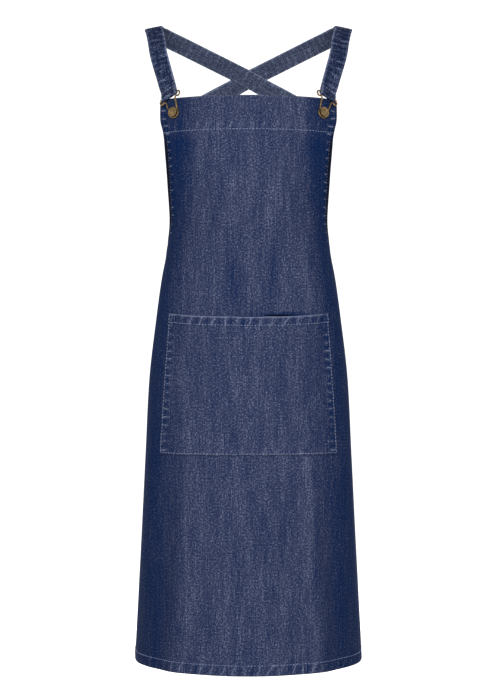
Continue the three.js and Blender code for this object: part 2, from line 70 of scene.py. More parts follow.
# Body panel
# The bib and the wrapped skirt are one piece of indigo denim, a warp-faced twill whose slubby warp
# runs down the cloth. Its edges are turned in twice and topstitched, and the hems draw the cloth up
# in short puckers whose ridges have faded, with a painted highlight on each ridge and painted shade
# in each dip. It stands in broad soft folds where a body carries it, and painted shade darkens it
# where it turns away from the front lights.
MM = 0.001
CLOTH = 1.2 * MM
GAP = 0.3 * MM
HEM_THICKNESS = 2.8 * MM
SIDE_HEM = 11 * MM
BOTTOM_HEM = 18 * MM
FACING_DEPTH = 57.5 * MM
BODY_LENGTH = 910 * MM
HEM_HALF_BREADTH = 188 * MM
HEM_DEPTH = 170 * MM
TOP_LEAN = 30 * MM
FRONT = 150 * MM
BIB_DROP = 124 * MM
BIB_HALF = 161 * MM
CORNER_HALF = 285 * MM
CORNER_DROP = 262 * MM
HEM_HALF = 400 * MM
FOLD_DEPTH = 7 * MM
POCKET_DROP = 345 * MM
POCKET_TOP_HALF = 132.5 * MM
POCKET_SAG = 8 * MM

# One level a row: share of the drop, breadth, depth in front and behind, lean, and squareness.
LEVELS = [
    (0.0, 0.892, 0.79, 0.7, 1.0, 2.0),
    (0.066, 0.868, 0.765, 0.68, 0.28, 2.0),
    (0.147, 0.79, 0.694, 0.66, 0.0, 2.05),
    (0.22, 0.702, 0.612, 0.65, 0.35, 2.15),
    (0.258, 0.7, 0.576, 0.64, 0.55, 2.2),
    (0.319, 0.752, 0.576, 0.64, 0.62, 2.25),
    (0.387, 0.796, 0.6, 0.66, 0.38, 2.3),
    (0.49, 0.854, 0.67, 0.69, 0.05, 2.3),
    (0.626, 0.89, 0.765, 0.73, -0.2, 2.3),
    (0.8, 0.938, 0.935, 0.77, -0.36, 2.2),
    (1.0, 1.0, 1.19, 0.82, -0.55, 2.1),
]
# The side of the bib: share of the drop to the corner, share of the way out to it.
ARMHOLE = [
    (0.0, 0.0),
    (0.134, -0.002),
    (0.214, -0.06),
    (0.286, -0.081),
    (0.511, -0.105),
    (0.687, -0.082),
    (0.782, -0.021),
    (0.859, 0.11),
    (0.916, 0.327),
    (0.962, 0.62),
    (1.0, 1.0),
]
# One fold a row: place round the panel, width, where it starts and stops, how fast it grows, rise.
FOLDS = [
    (0.15, 0.085, 0.27, 0.42, 0.09, -0.42),
    (0.24, 0.1, 0.66, 1.1, 0.16, -0.35),
    (0.42, 0.075, 0.62, 1.1, 0.16, 0.45),
    (0.52, 0.07, 0.62, 1.1, 0.16, -0.4),
    (0.76, 0.09, 0.5, 1.1, 0.2, 0.4),
    (1.14, 0.07, 0.42, 1.1, 0.25, -1.0),
    (1.27, 0.06, 0.45, 1.1, 0.3, 0.8),
]


def lerp(a, b, t):
    """The value a share t of the way from a to b."""
    return a + (b - a) * t


def ease(x):
    """0 below 0 and 1 above 1, with a smooth rise between them."""
    x = min(max(x, 0.0), 1.0)
    return x * x * (3 - 2 * x)


def hump(x, middle, width):
    """1 at the middle, falling away smoothly to either side."""
    return math.exp(-(((x - middle) / width) ** 2))


def read_table(rows, column, at):
    """A column's value at a place along the first column, on a smooth curve through the rows."""
    last = len(rows) - 1
    i = 0
    while i < last - 1 and at > rows[i + 1][0]:
        i += 1

    def slope(k):
        a, b = rows[max(k - 1, 0)], rows[min(k + 1, last)]
        return (b[column] - a[column]) / (b[0] - a[0])

    low, high = rows[i], rows[i + 1]
    span = high[0] - low[0]
    t = min(max((at - low[0]) / span, 0.0), 1.0)
    t2, t3 = t * t, t * t * t
    return (
        low[column] * (2 * t3 - 3 * t2 + 1)
        + high[column] * (3 * t2 - 2 * t3)
        + slope(i) * span * (t3 - 2 * t2 + t)
        + slope(i + 1) * span * (t3 - t2)
    )


def cut_half(drop):
    """Half of the panel's flat width at a drop below the bib's top edge."""
    if drop >= CORNER_DROP:
        return lerp(CORNER_HALF, HEM_HALF, (drop - CORNER_DROP) / (BODY_LENGTH - CORNER_DROP))
    return lerp(BIB_HALF, CORNER_HALF, read_table(ARMHOLE, 1, drop / CORNER_DROP))


LEVEL_STEPS = 240
levels = {}


def level_at(drop):
    """Points round one level of the worn shape, front to back, with the arc length to each."""
    key = round(drop, 6)
    if key not in levels:
        breadth, depth, behind, lean, square = (
            read_table(LEVELS, k, drop / BODY_LENGTH) for k in range(1, 6)
        )
        half, depth, behind = HEM_HALF_BREADTH * breadth, HEM_DEPTH * depth, HEM_DEPTH * behind
        widest = -FRONT + TOP_LEAN * lean + depth
        points, arcs = [], []
        for i in range(LEVEL_STEPS + 1):
            turn = math.pi * i / LEVEL_STEPS
            forward = math.cos(turn)
            reach = -depth if forward > 0 else behind
            across = half * abs(math.sin(turn)) ** (2 / square)
            point = (across, widest + reach * abs(forward) ** (2 / square))
            arcs.append(arcs[-1] + math.dist(point, points[-1]) if points else 0.0)
            points.append(point)
        levels[key] = points, arcs
    return levels[key]


def fold_at(across, drop, quarter):
    """How far the folds push the cloth out at a place."""
    share, down = abs(across) / quarter, drop / BODY_LENGTH
    push = 0.0
    for at, width, start, stop, fade, rise in FOLDS:
        grown = ease((down - start) / fade) * ease((stop - down) / fade)
        push += FOLD_DEPTH * rise * grown * hump(share, at, width)
    return push


def face_point(across, drop):
    """The cloth's outer face: across is the arc length from the middle, right positive."""
    points, arcs = level_at(drop)
    reach = min(abs(across), arcs[-1])
    low, high = 0, LEVEL_STEPS
    while high - low > 1:
        middle = (low + high) // 2
        low, high = (middle, high) if arcs[middle] <= reach else (low, middle)
    t = (reach - arcs[low]) / (arcs[high] - arcs[low])
    (ax, ay), (bx, by) = points[low], points[high]
    length = math.hypot(bx - ax, by - ay)
    push = fold_at(across, drop, arcs[LEVEL_STEPS // 2])
    x = lerp(ax, bx, t) + push * (by - ay) / length
    y = lerp(ay, by, t) - push * (bx - ax) / length
    return Vector((math.copysign(x, across), y, -BIB_DROP - drop))


PROBE = 2.5 * MM


def face_normal(across, drop):
    """The way out of the cloth at a place on its outer face."""
    right = face_point(across + PROBE, drop) - face_point(across - PROBE, drop)
    down = face_point(across, drop + PROBE) - face_point(across, max(drop - PROBE, 0.0))
    return down.cross(right).normalized()


class Socket:
    """A shader socket that takes arithmetic: each operation on it adds a Math node."""

    def __init__(self, tree, socket=None):
        self.tree, self.socket = tree, socket

    def node(self, kind, settings=None, output=0, **values):
        """Adds a node and gives one of its outputs.

        A value goes to the socket that it is named after, or by number after an i.
        """
        new = self.tree.nodes.new(kind)
        for name, value in (settings or {}).items():
            setattr(new, name, value)
        for name, value in values.items():
            place = int(name[1:]) if name[1:].isdigit() else name.replace("_", " ")
            if isinstance(value, Socket):
                self.tree.links.new(value.socket, new.inputs[place])
            else:
                new.inputs[place].default_value = value
        return Socket(self.tree, new.outputs[output])

    def math(self, operation, first, second):
        return self.node("ShaderNodeMath", {"operation": operation}, i0=first, i1=second)

    def __add__(self, other):
        return self.math("ADD", self, other)

    def __radd__(self, other):
        return self.math("ADD", other, self)

    def __sub__(self, other):
        return self.math("SUBTRACT", self, other)

    def __rsub__(self, other):
        return self.math("SUBTRACT", other, self)

    def __mul__(self, other):
        return self.math("MULTIPLY", self, other)

    def __rmul__(self, other):
        return self.math("MULTIPLY", other, self)

    def ramp(self, low, high):
        """0 at low and 1 at high, with a smooth rise between them."""
        smooth = {"interpolation_type": "SMOOTHSTEP"}
        return self.node("ShaderNodeMapRange", smooth, Value=self, From_Min=low, From_Max=high)

    def mix(self, low, high):
        """A colour: low where this is 0, high where it is 1."""
        return self.node("ShaderNodeMix", {"data_type": "RGBA"}, 2, i0=self, i6=low, i7=high)


def srgb(*levels):
    """A colour from its red, green and blue levels out of 255."""
    light = [((c / 255 + 0.055) / 1.055) ** 2.4 if c > 10 else c / 3294.6 for c in levels]
    return (*light, 1.0)


def new_material(name):
    """A new material, its node tree and its surface node."""
    material = bpy.data.materials.new(name)
    material.use_nodes = True
    return material, material.node_tree, material.node_tree.nodes["Principled BSDF"]


TWILL_LEAN = math.radians(27)
CREASE_LEAN = 0.4
CREASE_EVERY = 17 * MM
DEEP_SHADE = srgb(9, 12, 24)
REVERSE_COLOURS = srgb(88, 95, 118), srgb(140, 147, 166)


def denim(name, dark, middle, light, tick_every, tick_wander=1.2, smudged=0.0):
    """Denim, in metres of cloth.

    'fade' lightens or darkens it, for worn dye and for painted shade and painted highlight, and
    where it is deepest turns it to the near-black of a painted shadow. 'tick' and 'crease' say
    where puckers show, and 'reverse' where the paler back of the cloth does.
    """
    material, tree, shader = new_material(name)
    start = Socket(tree)
    cloth = start.node("ShaderNodeUVMap", {"uv_map": "cloth"})

    def noise(across, along, detail, seed):
        """Soft spots from 0 to 1, so many to a metre across the cloth and along it."""
        moved = (seed, seed * 0.7, 0)
        stretched = start.node(
            "ShaderNodeMapping", Vector=cloth, Location=moved, Scale=(across, along, 1)
        )
        return start.node(
            "ShaderNodeTexNoise", Vector=stretched, Scale=1.0, Detail=detail, Roughness=0.6
        )

    def spot(name):
        """A mark that the cloth's points carry."""
        return start.node("ShaderNodeAttribute", {"attribute_name": name}, "Fac")

    slub = noise(620, 34, 2.0, 3.1)
    streak = noise(230, 8, 2.0, 8.3)
    speck = noise(430, 380, 1.5, 6.9)
    grain = noise(1100, 1000, 1.0, 5.7)
    cloud = noise(46, 8, 3.0, 1.3)
    leaning = start.node("ShaderNodeMapping", Vector=cloth, Rotation=(0, 0, TWILL_LEAN))
    twill = start.node(
        "ShaderNodeTexWave", {"bands_direction": "X"}, Vector=leaning, Scale=165.0, Distortion=1.2
    )
    patchy = 0.45 + noise(34, 34, 1.0, 4.4).ramp(0.36, 0.6) * 0.55

    def puckers(way, every, wander):
        """Thin light ridges across a seam at about even steps, faded dye with a painted highlight,
        each with a darker dip of painted shade beside it.
        """
        lean = CREASE_LEAN if way == "X" else 0.0
        turned = start.node("ShaderNodeMapping", Vector=cloth, Rotation=(0, 0, lean))
        wave = start.node(
            "ShaderNodeTexWave",
            {"bands_direction": way},
            Vector=turned,
            Scale=math.pi / (10 * every),
            Distortion=wander,
            Detail=2.0,
            Detail_Scale=1.6,
        )
        return (wave.ramp(0.9, 0.998) - 0.45 * wave.ramp(0.45, 0.08)) * patchy

    ticks = puckers("Y", tick_every, tick_wander)
    creases = puckers("X", CREASE_EVERY, 3.0)
    smudge = noise(46, 190, 2.0, 9.2)
    fade = spot("fade")
    weave = (
        (slub - 0.5) * 0.9
        + (streak - 0.5) * 0.4
        + (speck - 0.5) * 2.1
        + (grain - 0.5) * 1.1
        + (twill - 0.5) * 0.25
    )
    tone = (
        0.5
        + weave * (1 - fade * 0.8)
        + (cloud - 0.5) * 0.6
        + spot("tick") * ticks
        + spot("crease") * creases
        + (smudge.ramp(0.5, 0.72) - 0.25) * smudged
        + fade
    )
    # The face's colour carries the painted shade and painted highlight in 'fade', and where 'fade'
    # is deepest it turns to the near-black of a painted shadow.
    worn = tone.ramp(0.5, 1.15).mix(tone.ramp(-0.1, 0.5).mix(dark, middle), light)
    face = fade.ramp(-0.6, -1.3).mix(worn, DEEP_SHADE)
    back = (speck * 0.6 + slub * 0.4).ramp(0.35, 0.65).mix(*REVERSE_COLOURS)
    tree.links.new(spot("reverse").mix(face, back).socket, shader.inputs["Base Color"])
    shader.inputs["Roughness"].default_value = 0.93
    shader.inputs["Specular IOR Level"].default_value = 0.06
    height = twill * 0.4 + slub * 0.6 + grain * 0.3 + speck * 0.5
    bump = start.node("ShaderNodeBump", Height=height, Strength=0.4, Distance=0.0005)
    tree.links.new(bump.socket, shader.inputs["Normal"])
    return material


DENIM = denim("denim", srgb(0, 34, 80), srgb(52, 60, 91), srgb(119, 128, 158), 13 * MM)


def closed_wall(name, columns, rows, outer, inner, uv, marks, material):
    """A closed cloth wall from two faces of (columns + 1) by (rows + 1) points, smooth all over.

    Each point's marks are its fade, which holds worn dye, painted shade and painted highlight, its
    tick and crease, and how much the inner face shows the reverse.
    """
    mesh = bpy.data.meshes.new(name)
    across, total = columns + 1, (columns + 1) * (rows + 1)
    faces = []
    for j in range(rows):
        for i in range(columns):
            a = j * across + i
            b = total + a
            faces.append((a, a + across, a + across + 1, a + 1))
            faces.append((b, b + 1, b + across + 1, b + across))
    for j in range(rows):
        a, b = j * across, j * across + columns
        faces.append((a, total + a, total + a + across, a + across))
        faces.append((b, b + across, total + b + across, total + b))
    for i in range(columns):
        a, b = i, rows * across + i
        faces.append((a, a + 1, total + a + 1, total + a))
        faces.append((b, total + b, total + b + 1, b + 1))
    mesh.from_pydata(list(outer) + list(inner), [], faces)
    layer = mesh.uv_layers.new(name="cloth")
    places = list(uv) + list(uv)
    for loop in mesh.loops:
        layer.data[loop.index].uv = places[loop.vertex_index]
    for k, mark in enumerate(("fade", "tick", "crease")):
        spots = mesh.attributes.new(mark, "FLOAT", "POINT")
        spots.data.foreach_set("value", [place[k] for place in marks] * 2)
    spots = mesh.attributes.new("reverse", "FLOAT", "POINT")
    spots.data.foreach_set("value", [0.0] * total + [place[3] for place in marks])
    mesh.materials.append(material)
    mesh.shade_smooth()
    return put_in(name, mesh)


def noise_1d(x, seed):
    """Smooth even noise from -1 to 1, the same on every run."""
    k = math.floor(x)
    t = x - k
    values = [random.Random(f"{seed}:{k + n}").uniform(-1, 1) for n in (0, 1)]
    return lerp(values[0], values[1], ease(t))


PANEL_COLUMNS = 188
PANEL_ROWS = 250
HEM_COLUMNS = 5
PUCKER = 0.5 * MM
SIDE_PUCKERS_EVERY = 6.6 * MM
HEM_PUCKERS_EVERY = 9.5 * MM
BAND_PUCKERS_EVERY = 8 * MM


def hem_inset(drop):
    """How far in from the edge the side hem is sewn, measured straight across."""
    above = min(drop, CORNER_DROP)
    slope = (cut_half(above) - cut_half(above - MM)) / MM if drop > MM else 0.0
    slanted = SIDE_HEM * math.hypot(1, slope)
    return lerp(slanted, SIDE_HEM, min(max((drop - CORNER_DROP) / SIDE_HEM, 0.0), 1.0))


def panel_place(i, drop):
    """Across at column i of a row, with even columns between the two side hems."""
    edge = cut_half(drop)
    hem = edge - hem_inset(drop)
    if i <= HEM_COLUMNS:
        return lerp(-edge, -hem, i / HEM_COLUMNS)
    if i >= PANEL_COLUMNS - HEM_COLUMNS:
        return lerp(hem, edge, (i - PANEL_COLUMNS + HEM_COLUMNS) / HEM_COLUMNS)
    return lerp(-hem, hem, (i - HEM_COLUMNS) / (PANEL_COLUMNS - 2 * HEM_COLUMNS))


def panel_relief(across, drop):
    """How far the puckers along the hems and under the band lift the outer face."""
    side = "l" if across < 0 else "r"
    from_edge, inset = cut_half(drop) - abs(across), hem_inset(drop)
    from_hem = BODY_LENGTH - drop
    lift = 0.0
    if from_edge < inset * 2:
        ripple = noise_1d(drop / SIDE_PUCKERS_EVERY, "side" + side)
        lift += PUCKER * ripple * hump(from_edge, inset * 0.8, inset * 0.45)
    if from_hem < BOTTOM_HEM * 2:
        wave = noise_1d(across / HEM_PUCKERS_EVERY + 0.35 * from_hem / BOTTOM_HEM, "hem")
        lift += 1.8 * PUCKER * wave * hump(from_hem, BOTTOM_HEM * 0.7, BOTTOM_HEM * 0.5)
    if drop < FACING_DEPTH * 1.5:
        ripple = noise_1d(across / BAND_PUCKERS_EVERY, "band")
        lift += PUCKER * ripple * hump(drop, FACING_DEPTH * 0.88, FACING_DEPTH * 0.13)
    return lift


def panel_marks(across, drop):
    """Fade (worn dye, painted shade and painted highlight), tick and crease of the panel, and the
    reverse that its back shows inside the hems.
    """
    from_edge, inset = cut_half(drop) - abs(across), hem_inset(drop)
    from_hem = BODY_LENGTH - drop
    on_bib = 1 - ease((drop - 0.75 * CORNER_DROP) / (0.25 * CORNER_DROP))
    # Painted shade: darker where the cloth turns away from the front lights, less so again round
    # the back.
    spread = ease(drop / (0.5 * BODY_LENGTH))
    turned_away = ease((abs(across) - lerp(68, 100, spread) * MM) / (lerp(52, 80, spread) * MM))
    turned_away -= 0.5 * ease((abs(across) - 225 * MM) / (70 * MM))
    below = ease((drop - FACING_DEPTH) / (25 * MM))
    fade = -lerp(0.72, 0.46, drop / BODY_LENGTH) * turned_away * below
    fade -= 0.42 * ease((abs(across) - 88 * MM) / (28 * MM)) * (1 - below)
    # Painted shade in the dips of the folds above the pocket and below it, and painted highlights
    # on the ridges beside them.
    over_pocket = hump(drop, 300 * MM, 55 * MM)
    in_skirt = hump(drop, 665 * MM, 105 * MM)
    dip = (29 + 6 * math.copysign(1, across)) * MM
    fade -= 0.22 * hump(abs(across), dip, 10 * MM) * over_pocket
    fade -= 0.15 * hump(abs(across), 114 * MM, 9 * MM) * in_skirt
    fade += 0.1 * hump(abs(across), 98 * MM, 6 * MM) * in_skirt
    # Painted shadow: a black line on the skirt at and just above the right half of the pocket's
    # mouth.
    lip = POCKET_DROP + POCKET_SAG * (1 - (across / POCKET_TOP_HALF) ** 2)
    fade -= 1.8 * hump(drop, lip - 2.4 * MM, 3.2 * MM) * hump(across, 49 * MM, 30 * MM)
    # Dark side hems on the bib, and edges that wear has whitened.
    in_hem = 1 - ease((from_edge - inset * 0.8) / (4 * MM))
    fade -= 0.45 * on_bib * in_hem * ease((drop - 20 * MM) / (40 * MM))
    fade += 0.2 * hump(from_hem, 0, 1.6 * MM) + 0.3 * hump(drop, 0, 1.6 * MM)
    fade += 0.12 * hump(from_edge, 0, 1.3 * MM)
    fade += 0.06 * hump(drop, FACING_DEPTH * 0.83, 8 * MM)
    # Where the puckers' painted highlights and painted shade show: along the side hems, most on the
    # bib, along the bottom hem and under the band.
    tick = (0.2 + 2.9 * on_bib) * hump(from_edge, inset * 0.9, inset * 0.4)
    crease = 0.55 * hump(from_hem, BOTTOM_HEM * 0.45, BOTTOM_HEM * 0.5)
    crease += 0.3 * hump(drop, FACING_DEPTH * 0.84, 7 * MM)
    hemmed = from_edge < inset * 1.02 or from_hem < BOTTOM_HEM or drop < FACING_DEPTH * 0.1
    return fade, tick, crease, 0.0 if hemmed else 1.0


outer, inner, uv, marks = [], [], [], []
for j in range(PANEL_ROWS + 1):
    drop = BODY_LENGTH * j / PANEL_ROWS
    for i in range(PANEL_COLUMNS + 1):
        across = panel_place(i, drop)
        lift = panel_relief(across, drop)
        point, out = face_point(across, drop), face_normal(across, drop)
        in_side_hem = cut_half(drop) - abs(across) < hem_inset(drop) * 1.02
        hemmed = in_side_hem or BODY_LENGTH - drop < BOTTOM_HEM
        outer.append(point + out * lift)
        inner.append(point + out * (min(lift, 0) - (HEM_THICKNESS if hemmed else CLOTH)))
        uv.append((across, -drop))
        marks.append(panel_marks(across, drop))
body_panel = closed_wall("denim_panel", PANEL_COLUMNS, PANEL_ROWS, outer, inner, uv, marks, DENIM)
STRIPS = 400
half_widths = [cut_half(BODY_LENGTH * (j + 0.5) / STRIPS) for j in range(STRIPS)]
PANEL_AREA = 2 * sum(half_widths) * BODY_LENGTH / STRIPS
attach(body_panel, "root")
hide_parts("body_panel")

# Topstitching
# Twisted polyester in short stitches that dip into the cloth at each end. Light blue-grey thread
# holds the foot of the facing and the bottom hem, and thread near the cloth's colour the sides.
def twisted_thread(name, light, dull):
    """Thread whose twist shows as a fine change of colour."""
    material, tree, shader = new_material(name)
    place = Socket(tree).node("ShaderNodeTexCoord", output="Object")
    twist = place.node("ShaderNodeTexNoise", Vector=place, Scale=2400.0, Detail=1.0)
    soiled = place.node("ShaderNodeTexNoise", Vector=place, Scale=130.0, Detail=2.0)
    colour = (twist * 0.5 + soiled * 0.5).ramp(0.4, 0.6).mix(dull, light)
    tree.links.new(colour.socket, shader.inputs["Base Color"])
    shader.inputs["Roughness"].default_value = 0.7
    return material


THREAD = twisted_thread("thread", srgb(168, 182, 216), srgb(112, 126, 164))
THREAD_RADIUS = 0.42 * MM
STITCH = 4.2 * MM
STITCH_GAP = 1.0 * MM
THREAD_SIDES = 5
THREAD_OUT = 0.45
STITCH_RISES = 0.22
STITCH_DIPS = 0.78
FACING_SEAM_IN = 1.6 * MM
HEM_SEAM_IN = 1.5 * MM


def stitches(name, seams, thread=THREAD):
    """Stitches along seams, each a list of (place, way out of the cloth)."""
    points, faces = [], []
    for seam in seams:
        lengths = [0.0]
        for (a, _), (b, _) in zip(seam, seam[1:]):
            lengths.append(lengths[-1] + (b - a).length)
        count = max(int(lengths[-1] / (STITCH + STITCH_GAP)), 1)
        step = lengths[-1] / count
        k = 0
        for n in range(count):
            knots = []
            for share in (0.0, STITCH_RISES, STITCH_DIPS, 1.0):
                reach = n * step + STITCH_GAP / 2 + share * (step - STITCH_GAP)
                while k < len(seam) - 2 and lengths[k + 1] < reach:
                    k += 1
                t = (reach - lengths[k]) / (lengths[k + 1] - lengths[k])
                place = seam[k][0].lerp(seam[k + 1][0], t)
                out = seam[k][1].lerp(seam[k + 1][1], t).normalized()
                knots.append((place, out))
            along = (knots[-1][0] - knots[0][0]).normalized()
            side = along.cross(knots[0][1]).normalized()
            base = len(points)
            points.append(knots[0][0] - knots[0][1] * THREAD_RADIUS)
            for place, out in knots[1:3]:
                for turn in range(THREAD_SIDES):
                    angle = 2 * math.pi * turn / THREAD_SIDES
                    way = side * math.cos(angle) + out * (math.sin(angle) + THREAD_OUT)
                    points.append(place + THREAD_RADIUS * way)
            points.append(knots[-1][0] - knots[-1][1] * THREAD_RADIUS)
            near, far = base + 1, base + 1 + THREAD_SIDES
            for turn in range(THREAD_SIDES):
                after = (turn + 1) % THREAD_SIDES
                faces.append((base, near + after, near + turn))
                faces.append((near + turn, near + after, far + after, far + turn))
                faces.append((far + THREAD_SIDES, far + turn, far + after))
    mesh = bpy.data.meshes.new(name)
    mesh.from_pydata(points, [], faces)
    mesh.materials.append(thread)
    mesh.shade_smooth()
    piece = put_in(name, mesh)
    face_outwards(piece)
    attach(piece, "root")


def pick(piece):
    """Selects one piece alone, for the next operation."""
    bpy.ops.object.select_all(action="DESELECT")
    piece.select_set(True)
    bpy.context.view_layer.objects.active = piece


def face_outwards(piece):
    """Turns every face of a piece to look outwards, and leaves it selected."""
    pick(piece)
    bpy.ops.object.mode_set(mode="EDIT")
    bpy.ops.mesh.select_all(action="SELECT")
    bpy.ops.mesh.normals_make_consistent(inside=False)
    bpy.ops.object.mode_set(mode="OBJECT")


def on_panel(across, drop):
    """A place on the panel's outer face, and the way out of the cloth there."""
    out = face_normal(across, drop)
    return face_point(across, drop) + out * panel_relief(across, drop), out


def spaced(start, stop, steps):
    """Even steps from start to stop, with both ends."""
    return [lerp(start, stop, k / steps) for k in range(steps + 1)]


facing_reach, hem_reach = BIB_HALF - 9 * MM, HEM_HALF - 2 * MM
facing_line, bottom_line = FACING_DEPTH - FACING_SEAM_IN, BODY_LENGTH - BOTTOM_HEM + HEM_SEAM_IN
seams = [
    [on_panel(across, facing_line) for across in spaced(-facing_reach, facing_reach, 160)],
    [on_panel(across, bottom_line) for across in spaced(-hem_reach, hem_reach, 360)],
]
stitches("panel_thread", seams)
TONAL_THREAD = twisted_thread("tonal_thread", srgb(82, 96, 136), srgb(40, 50, 82))
drops = spaced(2 * MM, BODY_LENGTH - 2 * MM, 420)
seams = [
    [on_panel(side * (cut_half(drop) - hem_inset(drop) * 0.82), drop) for drop in drops]
    for side in (-1, 1)
]
stitches("side_thread", seams, TONAL_THREAD)

# Bib facing
# A strip of the same denim that doubles the bib's top from behind, over the side hems. It is
# sewn along its foot, and backs the cloth where the buttons go through.
FACING_COLUMNS, FACING_ROWS = PANEL_COLUMNS // 2, 16
outer, inner, uv, marks = [], [], [], []
for j in range(FACING_ROWS + 1):
    drop = FACING_DEPTH * j / FACING_ROWS
    for i in range(FACING_COLUMNS + 1):
        across = panel_place(2 * i, drop)
        hemmed = cut_half(drop) - abs(across) < hem_inset(drop) * 1.02
        lift = min(panel_relief(across, drop), 0) - GAP - (HEM_THICKNESS if hemmed else CLOTH)
        point, out = face_point(across, drop), face_normal(across, drop)
        outer.append(point + out * lift)
        inner.append(point + out * (lift - CLOTH))
        uv.append((across + 0.4, drop))
        fade = 0.15 * hump(drop, FACING_DEPTH, 1.5 * MM)
        marks.append((fade, 0.0, 0.3 * hump(drop, FACING_DEPTH, 9 * MM), 0.0))
bib_facing = closed_wall(
    "denim_facing", FACING_COLUMNS, FACING_ROWS, outer, inner, uv, marks, DENIM
)
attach(bib_facing, "root")
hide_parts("bib_facing")

# Pocket
# A patch of the same denim, sewn down at its sides and foot. Its hemmed mouth stands off the
# skirt, droops in the middle and ripples along its roll.
POCKET_HEIGHT = 222 * MM
POCKET_BOTTOM_HALF = 151 * MM
POCKET_HEM = 15 * MM
POCKET_HEM_THICKNESS = 2.4 * MM
POCKET_GAPE = 12 * MM
POCKET_SEAM_IN = 2.2 * MM
POCKET_COLUMNS, POCKET_ROWS = 110, 88
MOUTH_PUCKERS_EVERY = 9 * MM
POCKET_SIDE_PUCKERS_EVERY = 6.5 * MM
FOOT_PUCKERS_EVERY = 7 * MM


def pocket_place(share, down):
    """Across, drop and the inner face's height off the skirt, at shares of the pocket's size."""
    half = lerp(POCKET_TOP_HALF, POCKET_BOTTOM_HALF, down)
    droop = POCKET_SAG * (1 - share * share) * (1 - down)
    opened = (1 - down) ** 1.5 * max(math.cos(share * math.pi / 2), 0.0) ** 1.3
    return share * half, POCKET_DROP + POCKET_HEIGHT * down + droop, 2 * GAP + POCKET_GAPE * opened


def pocket_relief(share, down):
    """How far the puckers at the mouth, the sides and the foot lift the pocket's face."""
    across = share * lerp(POCKET_TOP_HALF, POCKET_BOTTOM_HALF, down)
    from_top = down * POCKET_HEIGHT
    from_foot = POCKET_HEIGHT - from_top
    from_side = (1 - abs(share)) * POCKET_BOTTOM_HALF
    side = "l" if share < 0 else "r"
    mouth = noise_1d(across / MOUTH_PUCKERS_EVERY + 0.5 * from_top / POCKET_HEM, "mouth")
    mouth *= hump(from_top, POCKET_HEM * 0.6, POCKET_HEM * 0.5)
    edge = noise_1d(from_top / POCKET_SIDE_PUCKERS_EVERY, "pocket" + side)
    edge *= hump(from_side, 5 * MM, 5 * MM)
    foot = noise_1d(across / FOOT_PUCKERS_EVERY, "foot") * hump(from_foot, 3 * MM, 4 * MM)
    return PUCKER * (2.2 * mouth + edge + 0.6 * foot)


def pocket_wall(share, down):
    """The cloth's thickness at a place, and its face's height, raised where edges are turned in."""
    thick = POCKET_HEM_THICKNESS if down * POCKET_HEIGHT < POCKET_HEM else CLOTH
    edge = min((1 - abs(share)) * POCKET_BOTTOM_HALF, (1 - down) * POCKET_HEIGHT)
    return thick, thick + 0.9 * MM * hump(max(edge - 3 * MM, 0), 0, 3 * MM)


def pocket_marks(share, down):
    """Fade (worn dye and painted shade), tick and crease of the pocket, and the reverse that its
    back shows below the hem.
    """
    from_top = down * POCKET_HEIGHT
    from_foot = POCKET_HEIGHT - from_top
    from_side = (1 - abs(share)) * POCKET_BOTTOM_HALF
    fade = 0.95 * hump(from_top, 0.4 * MM, 1.5 * MM) + 0.28 * hump(from_side, 0, 1.2 * MM)
    fade += 0.25 * hump(from_foot, 0, 1.2 * MM)
    # Painted shade: darker towards the pocket's sides, where the skirt turns away from the front
    # lights, more so on the right.
    fade -= (0.26 if share > 0 else 0.16) * ease((abs(share) - 0.6) / 0.4)
    fade -= 0.06 * hump(from_top, POCKET_HEM * 0.5, POCKET_HEM * 0.5)
    # Where the puckers' painted highlights and painted shade show: up the sides, across the mouth's
    # hem and along the foot.
    tick = 0.8 * hump(from_side, 8 * MM, 6 * MM) * ease((from_top - POCKET_HEM) / POCKET_HEM)
    crease = 0.5 * hump(from_top, POCKET_HEM * 0.5, POCKET_HEM * 0.55)
    crease += 0.25 * hump(from_foot, 5 * MM, 4 * MM)
    return fade, tick, crease, 0.0 if from_top < POCKET_HEM else 1.0


outer, inner, uv, marks = [], [], [], []
for j in range(POCKET_ROWS + 1):
    down = j / POCKET_ROWS
    for i in range(POCKET_COLUMNS + 1):
        share = 2 * i / POCKET_COLUMNS - 1
        across, drop, height = pocket_place(share, down)
        lift = pocket_relief(share, down)
        point, out = face_point(across, drop), face_normal(across, drop)
        thick, face_height = pocket_wall(share, down)
        outer.append(point + out * (height + face_height + max(lift, -0.4 * thick)))
        inner.append(point + out * height)
        uv.append((across + 0.013, -drop + 0.021))
        marks.append(pocket_marks(share, down))
pocket = closed_wall("denim_pocket", POCKET_COLUMNS, POCKET_ROWS, outer, inner, uv, marks, DENIM)
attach(pocket, "root")
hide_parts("pocket")


def on_pocket(share, down):
    """A place on the pocket's outer face, and the way out of the cloth there."""
    across, drop, height = pocket_place(share, down)
    out = face_normal(across, drop)
    face_height = pocket_wall(share, down)[1] + pocket_relief(share, down)
    return face_point(across, drop) + out * (height + face_height), out


mouth_line = 0.004
hem_line = (POCKET_HEM - HEM_SEAM_IN) / POCKET_HEIGHT
foot_line = 1 - POCKET_SEAM_IN / POCKET_HEIGHT
side_line = 1 - POCKET_SEAM_IN / POCKET_BOTTOM_HALF
seams = [
    [on_pocket(share, hem_line) for share in spaced(-side_line, side_line, 120)],
    [on_pocket(-side_line, down) for down in spaced(mouth_line, foot_line, 90)],
    [on_pocket(side_line, down) for down in spaced(mouth_line, foot_line, 90)],
    [on_pocket(share, foot_line) for share in spaced(-side_line, side_line, 120)],
]
stitches("pocket_thread", seams)

